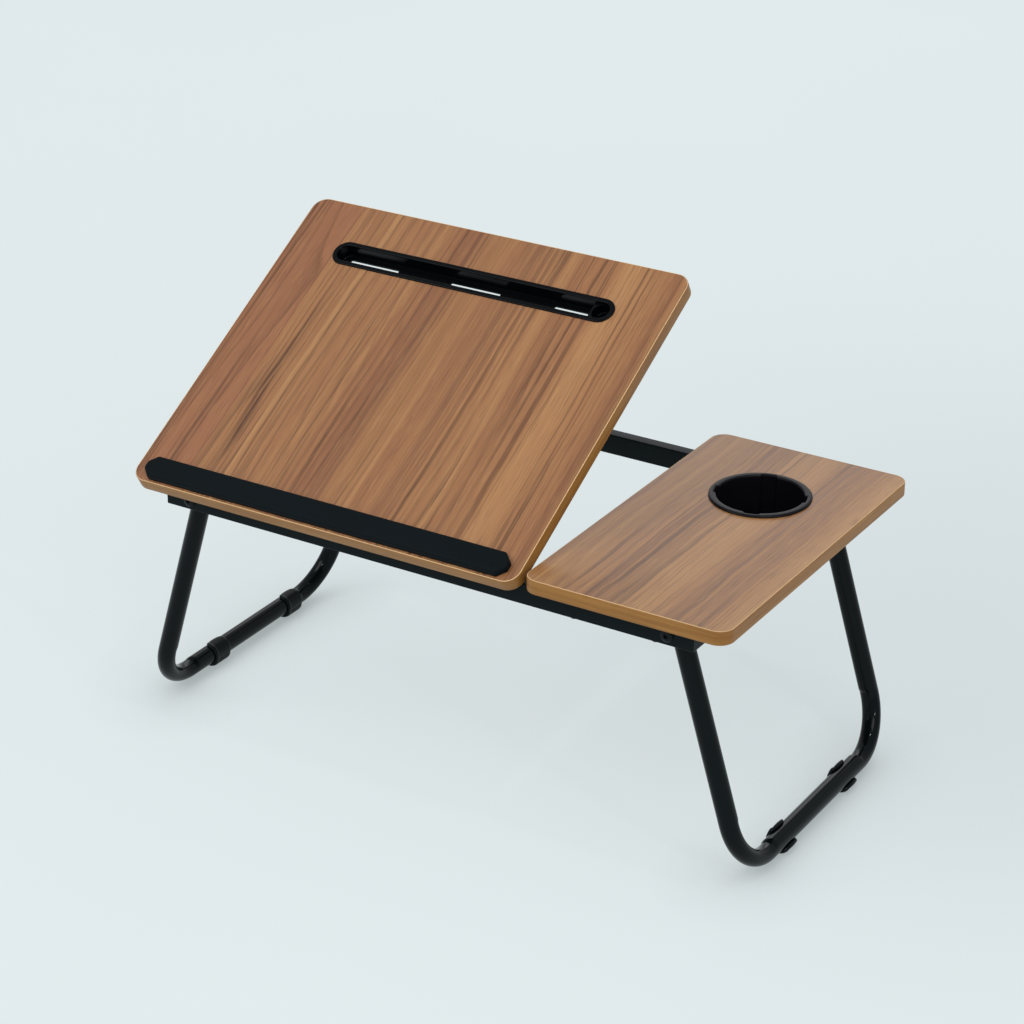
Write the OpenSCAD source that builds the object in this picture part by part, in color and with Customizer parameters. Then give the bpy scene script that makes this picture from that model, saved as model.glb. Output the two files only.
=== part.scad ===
// Folding bed table with a tilting board, a fixed side board, a tablet slot,
// a front stop bar and a cup holder, on a flat steel frame with two U-shaped legs.
// Millimetres. X runs along the length, Y from front to back, Z up from the floor.
// Lengths below are laid out with y = 0 at the boards' front edge; every node is
// then moved back by y_mid, so that the whole table is centred on the origin.

/* [Boards] */
// Length of the tilting board along X
left_w = 370; // [360:1:372]
// Length of the fixed board along X
right_w = 177; // [176:1:186]
// Depth of both boards, front to back
board_d = 320; // [316:1:330]
// Thickness of both boards
board_t = 12; // [12:0.5:15]
// Gap between the two boards
board_gap = 4; // [2:0.5:5]
// How far the boards' middle stands to the right of the frame's
board_shift = 3.5; // [0:0.5:4]
// Corner radius of the boards in plan
corner_r = 13; // [12:1:24]
// Thickness of the edge band
band_t = 1; // [0.6:0.1:1.5]
// Angle of the tilting board as it stands
tilt = 30; // [8:1:36]

/* [Frame] */
// Height of the top of the frame above the floor
rail_top = 223.5; // [212:0.5:230]
// Height of the frame's tube
rail_h = 18; // [16:0.5:20]
// Thickness of the frame's tube in plan
rail_w = 11.5; // [10:0.5:12]
// Wall of the frame's tube
rail_wall = 1.2; // [1:0.1:1.5]
// Half of the frame's length
frame_x = 246; // [244:1:250]
// Distance from the boards' front edge to the frame's front face
frame_front = 12; // [12:0.5:18]
// Depth of the frame, front to back
frame_depth = 289; // [284:0.5:295]

/* [Legs] */
// Outside radius of the leg's tube
tube_r = 8; // [7:0.5:8]
// Wall of the leg's tube
tube_wall = 1.2; // [1:0.1:1.5]
// How far each open leg leans outwards
splay = 16.6; // [15:0.1:17.4]
// Radius of the leg's bends at the tube's centre line
bend_r = 44; // [38:1:50]
// Distance of the leg's pivot from the middle of the table
pivot_x = 223.1; // [220:0.1:223.3]
// Thickness of the rubber foot clip
clip_t = 3.4; // [2.5:0.1:4]
// Length of the rubber foot clip
clip_len = 25; // [18:1:30]

/* [Slot, stop and cup] */
// Length of the slot insert's flange
slot_len = 275; // [250:1:285]
// Width of the slot insert's flange
slot_w = 25; // [23:0.5:28]
// Distance of the slot's centre line from the board's front edge
slot_v = 267; // [262:1:270]
// Length of the stop bar
stop_len = 349; // [320:1:350]
// Width of the stop bar
stop_w = 21; // [18:0.5:24]
// Height of the stop bar
stop_h = 6.5; // [5:0.5:8]
// Outside diameter of the cup holder's rim
cup_d = 84; // [82:1:90]
// Inside diameter of the cup holder
cup_in = 71; // [66:1:72]
// Depth of the cup holder below its rim
cup_depth = 50; // [40:1:52]

/* [Hidden] */
$fn = 64;

total_w = left_w + board_gap + right_w;
left_x0 = board_shift - total_w / 2;
left_x1 = left_x0 + left_w;
left_xc = (left_x0 + left_x1) / 2;
right_x0 = left_x1 + board_gap;
right_x1 = board_shift + total_w / 2;
right_xc = (right_x0 + right_x1) / 2;

frame_back = frame_front + frame_depth;
rail_z0 = rail_top - rail_h;
board_z1 = rail_top + board_t;

// Hinge of the tilting board, over the front edge of the front rail and let into the board.
lift = 0.5;                       // the flat tilting board clears the rails by this
knuckle_r = 2.4;
pin_r = 1.2;
pin_hole_r = 1.27;
leaf_t = 1;
hinge_y = frame_front - 0.8;
hinge_z = rail_top + knuckle_r + 0.4;
leaf_z0 = rail_top - hinge_z;            // frame leaf, measured from the axis
leaf_z1 = leaf_z0 + leaf_t + 0.3;        // board leaf, measured from the axis
leaf_y = 3.2;
hinge_len = 50;
hinge_xs = [left_x0 + 62, left_x1 - 62];
under = rail_top + lift;          // underside of the tilting board when flat
flat_top = under + board_t;

// Prop: a wire loop hung under the tilting board, whose foot travels along a
// straight line through the hinge axis. Prop and board make equal sides of a
// triangle, so the prop turns back by twice the board's angle.
rod_r = 2.5;
prop_v = 130;                     // distance from hinge to prop pivot along the board
prop_drop = hinge_z - (under - 6.5);
prop_len = sqrt(prop_v * prop_v + prop_drop * prop_drop);
prop_alpha = -atan(prop_drop / prop_v);
foot_slope = 2.2;
prop_half = 50;                   // half the loop's width
prop_bend = 9;
prop_x = left_xc;
rack_dx = 35;
rack_t = 3;
rack_z0 = rail_top - 15.5;
notch_angles = [15, 23, tilt, 36];
function foot_dist(a) = 2 * prop_len * cos(a + prop_alpha + foot_slope);
function foot_y(a) = hinge_y + foot_dist(a) * cos(foot_slope);
function foot_z(a) = hinge_z - foot_dist(a) * sin(foot_slope);
function line_z(y) = hinge_z - (y - hinge_y) * tan(foot_slope);
pivot_a = [hinge_y + prop_len * cos(tilt + prop_alpha), hinge_z + prop_len * sin(tilt + prop_alpha)];
foot_a = [foot_y(tilt), foot_z(tilt)];
prop_ang = atan2(foot_a[1] - pivot_a[1], foot_a[0] - pivot_a[0]);

// Front-most line of the tilted board, which sets the table's middle.
front_y = hinge_y - hinge_y * cos(tilt) - (flat_top - hinge_z) * sin(tilt);
y_mid = (board_d + front_y) / 2;

// Legs
pivot_z = rail_top - 9.5;
clip_r = tube_r + 0.05;
run_z = clip_r + clip_t;
leg_h = (pivot_z - run_z) / cos(splay);
leg_gap = 0.5;
leg_y0 = frame_front + rail_w + leg_gap + tube_r;
leg_y1 = frame_back - rail_w - leg_gap - tube_r;
run_x = pivot_x + leg_h * sin(splay);
end_r = 8.1;                      // rounding of the tube's top end about the pivot
bolt_r = 3;
bolt_hole_r = 3.08;
clip_open = 68;                   // half of the clip's open angle
clip_lip = 1.9;                   // radius of the beads along the clip's two edges
clip_ys = [leg_y0 + bend_r + 26, leg_y1 - bend_r - 26];
left_clip_shift = 11;             // the left leg's clips sit further back

// Slot insert
slot_flange = 4.2;
slot_in = slot_w - 2 * slot_flange;
slot_drop = 1.7;                  // how far the insert stands below the board
slot_rim = 1.2;                   // how far its flange stands above the board
slot_wall = 1.6;
win_w = 10.6;
win_len = 49;
slot_end = slot_len / 2 - slot_w / 2;

cup_x = right_xc;
cup_y = 225;
cup_wall = 1.8;
cup_rim = 2;
cup_notch_r = cup_in / 2 + 3;
cup_hole_r = cup_in / 2 + cup_wall + 3.2;
cup_notch_a = [16, 106, 196, 286];

screw_y0 = frame_front + rail_w / 2;
screw_xs = [right_x0 + 38, right_x1 - 68];

eps = 0.01;

module place() { translate([0, -y_mid, 0]) children(); }

// Turns what is laid out flat about the hinge axis by the tilt angle.
module tilted() {
    place() translate([0, hinge_y, hinge_z]) rotate([tilt, 0, 0]) translate([0, -hinge_y, -hinge_z]) children();
}

module round_rect(x0, y0, x1, y1, r) {
    translate([x0 + r, y0]) square([x1 - x0 - 2 * r, y1 - y0]);
    translate([x0, y0 + r]) square([x1 - x0, y1 - y0 - 2 * r]);
    for (x = [x0 + r, x1 - r], y = [y0 + r, y1 - r]) translate([x, y]) circle(r = r);
}

module stadium(l, w) {
    square([l - w, w], center = true);
    for (s = [-1, 1]) translate([s * (l - w) / 2, 0]) circle(r = w / 2);
}

// Board core with the edge band's thickness taken off all round.
module core(x0, x1, z0) {
    translate([0, 0, z0]) linear_extrude(board_t)
        round_rect(x0 + band_t, band_t, x1 - band_t, board_d - band_t, corner_r - band_t);
}

module band(x0, x1, z0) {
    translate([0, 0, z0]) linear_extrude(board_t) difference() {
        round_rect(x0, 0, x1, board_d, corner_r);
        round_rect(x0 + band_t, band_t, x1 - band_t, board_d - band_t, corner_r - band_t);
    }
}

// ---- tilting board -------------------------------------------------------

module left_board() {
    color([0.66, 0.47, 0.34]) tilted() difference() {
        core(left_x0, left_x1, under);
        translate([left_xc, slot_v, under - 1]) linear_extrude(board_t + 2)
            stadium(slot_len - 2 * slot_flange + 2 * slot_wall + 0.4, slot_in + 2 * slot_wall + 0.4);
        for (hx = hinge_xs) {
            translate([hx - hinge_len / 2 - 1, hinge_y, under - 1])
                cube([hinge_len + 2, 28.7, 1 + hinge_z + leaf_z1 + leaf_t - under]);
            translate([hx - hinge_len / 2 - 1, hinge_y - 3.2, under - 1])
                cube([hinge_len + 2, 3.3, 1 + hinge_z - under]);
            translate([hx - hinge_len / 2 - 1, hinge_y, hinge_z]) rotate([0, 90, 0])
                cylinder(r = 3.2, h = hinge_len + 2);
            for (dx = [-17, 0, 17]) translate([hx + dx, hinge_y + 22, under]) cylinder(r = 1.55, h = 10);
        }
        for (s = [-1, 1], dy = [-6, 6]) translate([prop_x + s * (prop_half + 17), hinge_y + prop_v + dy, under - 1])
            cylinder(r = 1.55, h = 10);
    }
}

module left_edge_band() {
    color([0.63, 0.48, 0.33]) tilted() band(left_x0, left_x1, under);
}

// Moulded tray pressed into the slot: a flange on top, a trough with three
// long windows in its floor, and a round well at the right-hand end.
module slot_insert() {
    l_in = slot_len - 2 * slot_flange;
    z_top = flat_top + slot_rim;
    z_bot = under - slot_drop;
    well_x = slot_end;
    color([0.05, 0.05, 0.055]) tilted() translate([left_xc, slot_v, 0]) difference() {
        union() {
            translate([0, 0, flat_top]) linear_extrude(slot_rim) stadium(slot_len, slot_w);
            translate([0, 0, z_bot]) linear_extrude(flat_top - z_bot + eps) stadium(l_in + 2 * slot_wall, slot_in + 2 * slot_wall);
        }
        // trough, stopping short of the well
        difference() {
            translate([0, 0, z_bot + 1.6]) linear_extrude(40) stadium(l_in, slot_in);
            translate([well_x - slot_in / 2 - 1.5, -20, z_bot - 1]) cube([60, 40, flat_top - z_bot - 1.5]);
        }
        // well, closed at the bottom
        translate([well_x, 0, z_bot + 1.6]) cylinder(r = slot_in / 2 - 0.2, h = 60);
        // windows in the floor of the trough
        for (x = [-101.5, 0, 101.5])
            translate([x - win_len / 2, -slot_in / 2 + 1, z_bot - 1]) cube([win_len, win_w, 4]);
    }
}

// Bar with sloping upper edges and cut-off, rounded corners.
module stop_bar() {
    l = stop_len;
    w = stop_w;
    h = stop_h;
    c = 7.6;
    r = 3;
    color([0.07, 0.08, 0.09]) tilted() translate([left_xc + 0.3 - l / 2, 2.5, flat_top]) intersection() {
        linear_extrude(h) {
            polygon([[c, 0], [l - c, 0], [l, c], [l, w - c], [l - c, w], [c, w], [0, w - c], [0, c]]);
            for (x = [r, l - r], y = [r, w - r]) translate([x + (x < l / 2 ? 1 : -1) * 1.6, y + (y < w / 2 ? 1 : -1) * 1.6]) circle(r = r + 0.8);
        }
        rotate([90, 0, 90]) linear_extrude(l)
            polygon([[0, 0], [w, 0], [w, 3.4], [w - 0.25, 4.6], [w - 0.9, 5.7], [w - 2, h], [2, h], [0.9, 5.7], [0.25, 4.6], [0, 3.4]]);
        translate([0, w, 0]) rotate([90, 0, 0]) linear_extrude(w)
            polygon([[0, 0], [l, 0], [l, 3.4], [l - 0.25, 4.6], [l - 0.9, 5.7], [l - 2, h], [2, h], [0.9, 5.7], [0.25, 4.6], [0, 3.4]]);
    }
}

// ---- fixed board ---------------------------------------------------------

module right_board() {
    color([0.68, 0.53, 0.41]) place() difference() {
        core(right_x0, right_x1, rail_top);
        translate([cup_x, cup_y, rail_top - 1]) cylinder(r = cup_hole_r, h = board_t + 2);
        for (x = screw_xs, y = [screw_y0, frame_back - rail_w / 2]) translate([x, y, rail_top - 1]) cylinder(r = 1.8, h = 9.2);
        for (y = [90, 230]) translate([right_x0 + 8, y, rail_top - 1]) cylinder(r = 1.8, h = 9.2);
    }
}

module right_edge_band() {
    color([0.66, 0.49, 0.31]) place() band(right_x0, right_x1, rail_top);
}

module cup_holder() {
    r_in = cup_in / 2;
    z_rim = board_z1 + cup_rim;
    z_bot = z_rim - cup_depth;
    color([0.16, 0.165, 0.175]) place() translate([cup_x, cup_y, 0]) difference() {
        union() {
            // rim with a rounded outer edge
            translate([0, 0, board_z1]) rotate_extrude($fn = 96) union() {
                square([cup_d / 2 - cup_rim, cup_rim]);
                intersection() {
                    translate([cup_d / 2 - cup_rim, 0]) circle(r = cup_rim);
                    translate([cup_d / 2 - cup_rim, 0]) square(cup_rim);
                }
            }
            translate([0, 0, z_bot]) cylinder(r = r_in + cup_wall, h = board_z1 - z_bot + eps, $fn = 96);
            // four bosses behind the notches
            for (a = cup_notch_a) rotate([0, 0, a]) translate([0, 0, z_bot + 6]) intersection() {
                cylinder(r = cup_notch_r + cup_wall, h = board_z1 - z_bot - 6 + eps, $fn = 96);
                translate([0, -9, 0]) cube([60, 18, 60]);
            }
        }
        translate([0, 0, z_bot + 2]) cylinder(r = r_in, h = cup_depth + 10, $fn = 96);
        for (a = cup_notch_a) rotate([0, 0, a]) translate([0, 0, z_bot + 8]) intersection() {
            cylinder(r = cup_notch_r, h = 60, $fn = 96);
            translate([0, -6.5, 0]) cube([60, 13, 60]);
        }
        // drain hole
        translate([0, 0, z_bot - 1]) cylinder(r = 5, h = 10);
    }
}

module pan_screw(r_head, t_head, r, h) {
    translate([0, 0, -t_head]) cylinder(r = r_head, h = t_head);
    cylinder(r = r, h = h);
}

module right_board_screws() {
    color([0.1, 0.1, 0.11]) place() {
        for (x = screw_xs, y = [screw_y0, frame_back - rail_w / 2]) translate([x, y, rail_z0]) pan_screw(3.8, 1.8, 1.75, rail_h + 8);
        for (y = [90, 230]) translate([right_x0 + 8, y, rail_z0]) pan_screw(3.8, 1.8, 1.75, rail_h + 8);
    }
}

// ---- frame ---------------------------------------------------------------

// Square-cornered tube of length l along X, outer size rail_w by rail_h.
module tube_x(l) {
    difference() {
        translate([-l / 2, 0, 0]) cube([l, rail_w, rail_h]);
        translate([-l / 2 - 1, rail_wall, rail_wall]) cube([l + 2, rail_w - 2 * rail_wall, rail_h - 2 * rail_wall]);
    }
}

// Cuts both ends of a rail to 45 degrees, so that four rails meet in mitres.
module mitred(l) {
    difference() {
        children();
        for (s = [0, 1]) mirror([s, 0, 0]) translate([l / 2, 0, -1]) linear_extrude(rail_h + 2)
            polygon([[0, 0], [1, -1], [30, -1], [30, rail_w + 1], [-rail_w - 1, rail_w + 1]]);
    }
}

module front_rail() {
    color([0.09, 0.095, 0.1]) place() difference() {
        translate([0, frame_front, rail_z0]) mitred(2 * frame_x) tube_x(2 * frame_x);
        for (s = [-1, 1]) translate([s * pivot_x, frame_front - 1, pivot_z]) rotate([-90, 0, 0]) cylinder(r = bolt_r + 0.05, h = rail_w + 2);
        for (x = screw_xs) translate([x, screw_y0, rail_z0 - 1]) cylinder(r = 1.8, h = rail_h + 2);
        for (hx = hinge_xs, dx = [-15, 15]) translate([hx + dx, frame_front + 6, rail_top - rail_wall - 1]) cylinder(r = 1.55, h = rail_wall + 2);
    }
}

module rear_rail() {
    color([0.09, 0.095, 0.1]) place() difference() {
        translate([0, frame_back, rail_z0]) mirror([0, 1, 0]) mitred(2 * frame_x) tube_x(2 * frame_x);
        for (s = [-1, 1]) translate([s * pivot_x, frame_back - rail_w - 1, pivot_z]) rotate([-90, 0, 0]) cylinder(r = bolt_r + 0.05, h = rail_w + 2);
        for (x = screw_xs) translate([x, frame_back - rail_w / 2, rail_z0 - 1]) cylinder(r = 1.8, h = rail_h + 2);
    }
}

module side_rail(s) {
    l = frame_depth;
    color([0.09, 0.095, 0.1]) place() translate([s * frame_x, (frame_front + frame_back) / 2, rail_z0])
        rotate([0, 0, s * 90]) mitred(l) tube_x(l);
}

module left_side_rail() { side_rail(-1); }
module right_side_rail() { side_rail(1); }

module cross_bar() {
    y0 = frame_front + rail_w;
    l = frame_depth - 2 * rail_w;
    color([0.09, 0.095, 0.1]) place() difference() {
        translate([right_x0 + 2, y0, rail_z0]) cube([rail_w, l, rail_h]);
        translate([right_x0 + 2 + rail_wall, y0 - 1, rail_z0 + rail_wall]) cube([rail_w - 2 * rail_wall, l + 2, rail_h - 2 * rail_wall]);
        for (y = [90, 230]) translate([right_x0 + 8, y, rail_z0 - 1]) cylinder(r = 1.8, h = rail_h + 2);
    }
}

// Flat bar on edge between the long rails, with shallow notches for the prop.
module rack_bar(s) {
    y0 = frame_front + rail_w;
    y1 = frame_back - rail_w;
    gap = rod_r + 0.3;
    color([0.09, 0.095, 0.1]) place() translate([prop_x + s * rack_dx - rack_t / 2, 0, 0])
        rotate([90, 0, 90]) linear_extrude(rack_t) difference() {
            polygon([[y0, rack_z0], [y1, rack_z0], [y1, line_z(y1) - gap], [foot_y(36) - 8, line_z(foot_y(36) - 8) - gap],
                [foot_y(36) - 12, rack_z0 + 6], [y0, rack_z0 + 6]]);
            for (a = notch_angles) translate([foot_y(a), foot_z(a) - 2.2]) circle(r = rod_r + 0.3, $fn = 48);
        }
}

module left_rack_bar() { rack_bar(-1); }
module right_rack_bar() { rack_bar(1); }

// ---- legs ----------------------------------------------------------------

// One leg, standing straight down from its pivot at the origin, in the YZ plane.
module leg_path(r, top) {
    l = leg_h - bend_r;
    for (y = [leg_y0, leg_y1]) translate([0, y, -l]) cylinder(r = r, h = l + top);
    translate([0, leg_y0 + bend_r, -leg_h]) rotate([-90, 0, 0]) cylinder(r = r, h = leg_y1 - leg_y0 - 2 * bend_r);
    translate([0, leg_y0 + bend_r, -l]) rotate([-90, 0, 0]) rotate([0, 90, 0])
        rotate_extrude(angle = 90, $fn = 96) translate([bend_r, 0]) circle(r = r, $fn = 48);
    translate([0, leg_y1 - bend_r, -l]) rotate([0, 90, 0])
        rotate_extrude(angle = 90, $fn = 96) translate([bend_r, 0]) circle(r = r, $fn = 48);
}

module leg() {
    difference() {
        intersection() {
            leg_path(tube_r, end_r + 1);
            union() {
                translate([-20, leg_y0 - 20, -leg_h - 20]) cube([40, leg_y1 - leg_y0 + 40, leg_h + 20]);
                translate([0, leg_y0 - 20, 0]) rotate([-90, 0, 0]) cylinder(r = end_r, h = leg_y1 - leg_y0 + 40);
            }
        }
        leg_path(tube_r - tube_wall, end_r + 2);
        for (y = [leg_y0, leg_y1]) translate([0, y - 15, 0]) rotate([-90, 0, 0]) cylinder(r = bolt_hole_r, h = 30);
    }
}

module right_leg() {
    color([0.07, 0.08, 0.085]) place() translate([pivot_x, 0, pivot_z]) rotate([0, -splay, 0]) leg();
}

module left_leg() {
    color([0.07, 0.08, 0.085]) mirror([1, 0, 0]) place() translate([pivot_x, 0, pivot_z]) rotate([0, -splay, 0]) leg();
}

// Rubber clip pushed over the tube; its opening faces the angle a.
module foot_clip(x, y, a) {
    r0 = clip_r;
    r1 = clip_r + clip_t;
    rm = (r0 + r1) / 2 + 0.3;
    color([0.05, 0.05, 0.055]) place() translate([x, y + clip_len / 2, run_z]) rotate([90, 0, 0]) rotate([0, 0, a + 180]) linear_extrude(clip_len) {
        difference() {
            circle(r = r1, $fn = 96);
            circle(r = r0, $fn = 96);
            polygon([[0, 0], 30 * [-cos(clip_open), -sin(clip_open)], [-60, 0], 30 * [-cos(clip_open), sin(clip_open)]]);
        }
        for (s = [-1, 1]) translate(rm * [-cos(clip_open), s * sin(clip_open)]) circle(r = clip_lip, $fn = 32);
    }
}

module left_front_foot_clip() { foot_clip(-run_x, clip_ys[0] + left_clip_shift, 182); }
module left_rear_foot_clip() { foot_clip(-run_x, clip_ys[1] + left_clip_shift, 182); }
module right_front_foot_clip() { foot_clip(run_x, clip_ys[0], 42); }
module right_rear_foot_clip() { foot_clip(run_x, clip_ys[1], 42); }

// Bolt from the frame's outer face inwards; dir is +1 at the front, -1 at the back.
module at_pivots() {
    for (s = [-1, 1]) {
        translate([s * pivot_x, frame_front, pivot_z]) rotate([-90, 0, 0]) children();
        translate([s * pivot_x, frame_back, pivot_z]) rotate([90, 0, 0]) children();
    }
}

bolt_grip = rail_w + leg_gap + 2 * tube_r + 0.5;
washer_t = 1;
nut_t = 5.5;

module leg_pivot_bolts() {
    color([0.08, 0.08, 0.09]) place() at_pivots() {
        // low domed head
        translate([0, 0, -2.2]) intersection() {
            cylinder(r = 5.5, h = 2.2);
            translate([0, 0, 9]) sphere(r = 9, $fn = 64);
        }
        cylinder(r = bolt_r, h = bolt_grip + washer_t + nut_t + 1.5);
    }
}

module leg_pivot_washers() {
    color([0.6, 0.6, 0.62]) place() at_pivots() translate([0, 0, bolt_grip]) difference() {
        cylinder(r = 6, h = washer_t);
        translate([0, 0, -1]) cylinder(r = bolt_r + 0.05, h = 5);
    }
}

module leg_pivot_nuts() {
    color([0.6, 0.6, 0.62]) place() at_pivots() translate([0, 0, bolt_grip + washer_t]) difference() {
        union() {
            cylinder(r = 5.77, h = 4, $fn = 6);
            translate([0, 0, 4 - eps]) cylinder(r = 4.6, h = 1.5);
        }
        translate([0, 0, -1]) cylinder(r = bolt_r + 0.02, h = 10);
    }
}

// ---- hinges --------------------------------------------------------------

// Knuckles numbered 0 to 4 from the left end of a hinge.
module knuckles(list) {
    p = hinge_len / 5;
    for (i = list) translate([-hinge_len / 2 + i * p + 0.2, 0, 0]) rotate([0, 90, 0]) cylinder(r = knuckle_r, h = p - 0.4);
}

module frame_leaf(hx) {
    p = hinge_len / 5;
    color([0.35, 0.35, 0.37]) place() translate([hx, hinge_y, hinge_z]) difference() {
        union() {
            knuckles([0, 2, 4]);
            translate([-hinge_len / 2, leaf_y, leaf_z0]) cube([hinge_len, 8.3, leaf_t]);
            for (i = [0, 2, 4]) translate([-hinge_len / 2 + i * p + 0.2, 0.4, leaf_z0]) cube([p - 0.4, leaf_y, leaf_t]);
        }
        translate([-hinge_len, 0, 0]) rotate([0, 90, 0]) cylinder(r = pin_hole_r, h = 2 * hinge_len);
        for (dx = [-15, 15]) translate([dx, frame_front + 6 - hinge_y, leaf_z0]) {
            translate([0, 0, -1]) cylinder(r = 1.55, h = 5);
            cylinder(r1 = 1.55, r2 = 2.6, h = leaf_t + 0.01);
        }
    }
}

module left_hinge_frame_leaf() { frame_leaf(hinge_xs[0]); }
module right_hinge_frame_leaf() { frame_leaf(hinge_xs[1]); }

module board_leaf(hx) {
    p = hinge_len / 5;
    color([0.35, 0.35, 0.37]) tilted() translate([hx, hinge_y, hinge_z]) difference() {
        union() {
            knuckles([1, 3]);
            translate([-hinge_len / 2, leaf_y, leaf_z1]) cube([hinge_len, 25, leaf_t]);
            for (i = [1, 3]) translate([-hinge_len / 2 + i * p + 0.2, 0.4, leaf_z1]) cube([p - 0.4, leaf_y, leaf_t]);
        }
        translate([-hinge_len, 0, 0]) rotate([0, 90, 0]) cylinder(r = pin_hole_r, h = 2 * hinge_len);
        for (dx = [-17, 0, 17]) translate([dx, 22, leaf_z1]) {
            translate([0, 0, -1]) cylinder(r = 1.55, h = 5);
            translate([0, 0, -0.01]) cylinder(r1 = 2.6, r2 = 1.55, h = leaf_t);
        }
    }
}

module left_hinge_board_leaf() { board_leaf(hinge_xs[0]); }
module right_hinge_board_leaf() { board_leaf(hinge_xs[1]); }

module hinge_pins() {
    color([0.7, 0.7, 0.72]) place() for (hx = hinge_xs)
        translate([hx - hinge_len / 2 - 0.5, hinge_y, hinge_z]) rotate([0, 90, 0]) cylinder(r = pin_r, h = hinge_len + 1);
}

module hinge_frame_rivets() {
    color([0.5, 0.5, 0.52]) place() for (hx = hinge_xs, dx = [-15, 15]) translate([hx + dx, frame_front + 6, rail_top]) {
        translate([0, 0, -5]) cylinder(r = 1.5, h = 5 + leaf_t / 2);
        cylinder(r1 = 1.5, r2 = 2.55, h = leaf_t);
    }
}

module hinge_board_screws() {
    color([0.5, 0.5, 0.52]) tilted() for (hx = hinge_xs, dx = [-17, 0, 17]) translate([hx + dx, hinge_y + 22, hinge_z + leaf_z1]) {
        cylinder(r1 = 2.55, r2 = 1.5, h = leaf_t);
        cylinder(r = 1.5, h = 9);
    }
}

// ---- prop ----------------------------------------------------------------

// Wire loop: two arms, a foot bar across, and two ends turned outwards.
// Laid out with the pivot at the origin and the arms along +Y.
module prop_wire() {
    w = prop_half;
    b = prop_bend;
    color([0.1, 0.1, 0.11]) place() translate([prop_x, pivot_a[0], pivot_a[1]]) rotate([prop_ang, 0, 0]) union() {
        for (s = [0, 1]) mirror([s, 0, 0]) {
            translate([w, 5, 0]) rotate([-90, 0, 0]) cylinder(r = rod_r, h = prop_len - b - 5);
            translate([w + 5, 5, 0]) rotate([0, 0, 180]) rotate_extrude(angle = 90, $fn = 64) translate([5, 0]) circle(r = rod_r, $fn = 32);
            translate([w + 5, 0, 0]) rotate([0, 90, 0]) cylinder(r = rod_r, h = 11);
            translate([w - b, prop_len - b, 0]) rotate_extrude(angle = 90, $fn = 64) translate([b, 0]) circle(r = rod_r, $fn = 32);
        }
        translate([-w + b, prop_len, 0]) rotate([0, 90, 0]) cylinder(r = rod_r, h = 2 * (w - b));
    }
}

// Pressed steel lug under the tilting board with a round hole for the wire's end.
module prop_bracket(s) {
    t = 1.5;
    yb = hinge_y + prop_v;
    xb = prop_x + s * (prop_half + 8);
    color([0.1, 0.1, 0.11]) tilted() difference() {
        union() {
            translate([s > 0 ? xb : xb - 14, yb - 11, under - t]) cube([14, 22, t]);
            translate([s > 0 ? xb : xb - 3, yb - 5, under - 6.5]) cube([3, 10, 6.5]);
            translate([s > 0 ? xb : xb - 3, yb, under - 6.5]) rotate([0, 90, 0]) cylinder(r = 5, h = 3);
        }
        translate([xb - 20, yb, under - 6.5]) rotate([0, 90, 0]) cylinder(r = rod_r + 0.08, h = 40);
        for (dy = [-6, 6]) translate([prop_x + s * (prop_half + 17), yb + dy, under - 5]) cylinder(r = 1.55, h = 10);
    }
}

module left_prop_bracket() { prop_bracket(-1); }
module right_prop_bracket() { prop_bracket(1); }

module prop_bracket_screws() {
    color([0.6, 0.6, 0.62]) tilted() for (s = [-1, 1], dy = [-6, 6])
        translate([prop_x + s * (prop_half + 17), hinge_y + prop_v + dy, under - 1.5]) pan_screw(2.8, 1.4, 1.5, 9.5);
}

left_board();
left_edge_band();
slot_insert();
stop_bar();
right_board();
right_edge_band();
cup_holder();
right_board_screws();
front_rail();
rear_rail();
left_side_rail();
right_side_rail();
cross_bar();
left_rack_bar();
right_rack_bar();
left_leg();
right_leg();
left_front_foot_clip();
left_rear_foot_clip();
right_front_foot_clip();
right_rear_foot_clip();
leg_pivot_bolts();
leg_pivot_washers();
leg_pivot_nuts();
left_hinge_frame_leaf();
right_hinge_frame_leaf();
left_hinge_board_leaf();
right_hinge_board_leaf();
hinge_pins();
hinge_frame_rivets();
hinge_board_screws();
prop_wire();
left_prop_bracket();
right_prop_bracket();
prop_bracket_screws();
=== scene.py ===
"""Folding bed table with a tilting board, a level side board, a cup holder and two folding tube legs."""
import bpy
import bmesh
import math
from mathutils import Matrix, Vector
from mathutils.geometry import tessellate_polygon


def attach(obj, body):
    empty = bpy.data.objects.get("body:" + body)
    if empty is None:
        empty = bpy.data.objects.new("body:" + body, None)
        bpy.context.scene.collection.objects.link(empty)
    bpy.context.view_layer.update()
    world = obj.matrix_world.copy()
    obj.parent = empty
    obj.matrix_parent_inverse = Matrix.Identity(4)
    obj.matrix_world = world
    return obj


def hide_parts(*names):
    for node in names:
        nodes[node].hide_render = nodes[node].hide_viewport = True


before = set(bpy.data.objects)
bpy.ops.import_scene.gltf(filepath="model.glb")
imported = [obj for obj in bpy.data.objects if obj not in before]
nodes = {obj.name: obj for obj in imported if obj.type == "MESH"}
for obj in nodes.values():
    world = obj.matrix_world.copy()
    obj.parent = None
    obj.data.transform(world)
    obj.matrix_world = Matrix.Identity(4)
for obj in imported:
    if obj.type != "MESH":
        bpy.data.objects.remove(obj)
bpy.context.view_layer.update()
MM = 0.001
rad = math.radians

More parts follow.
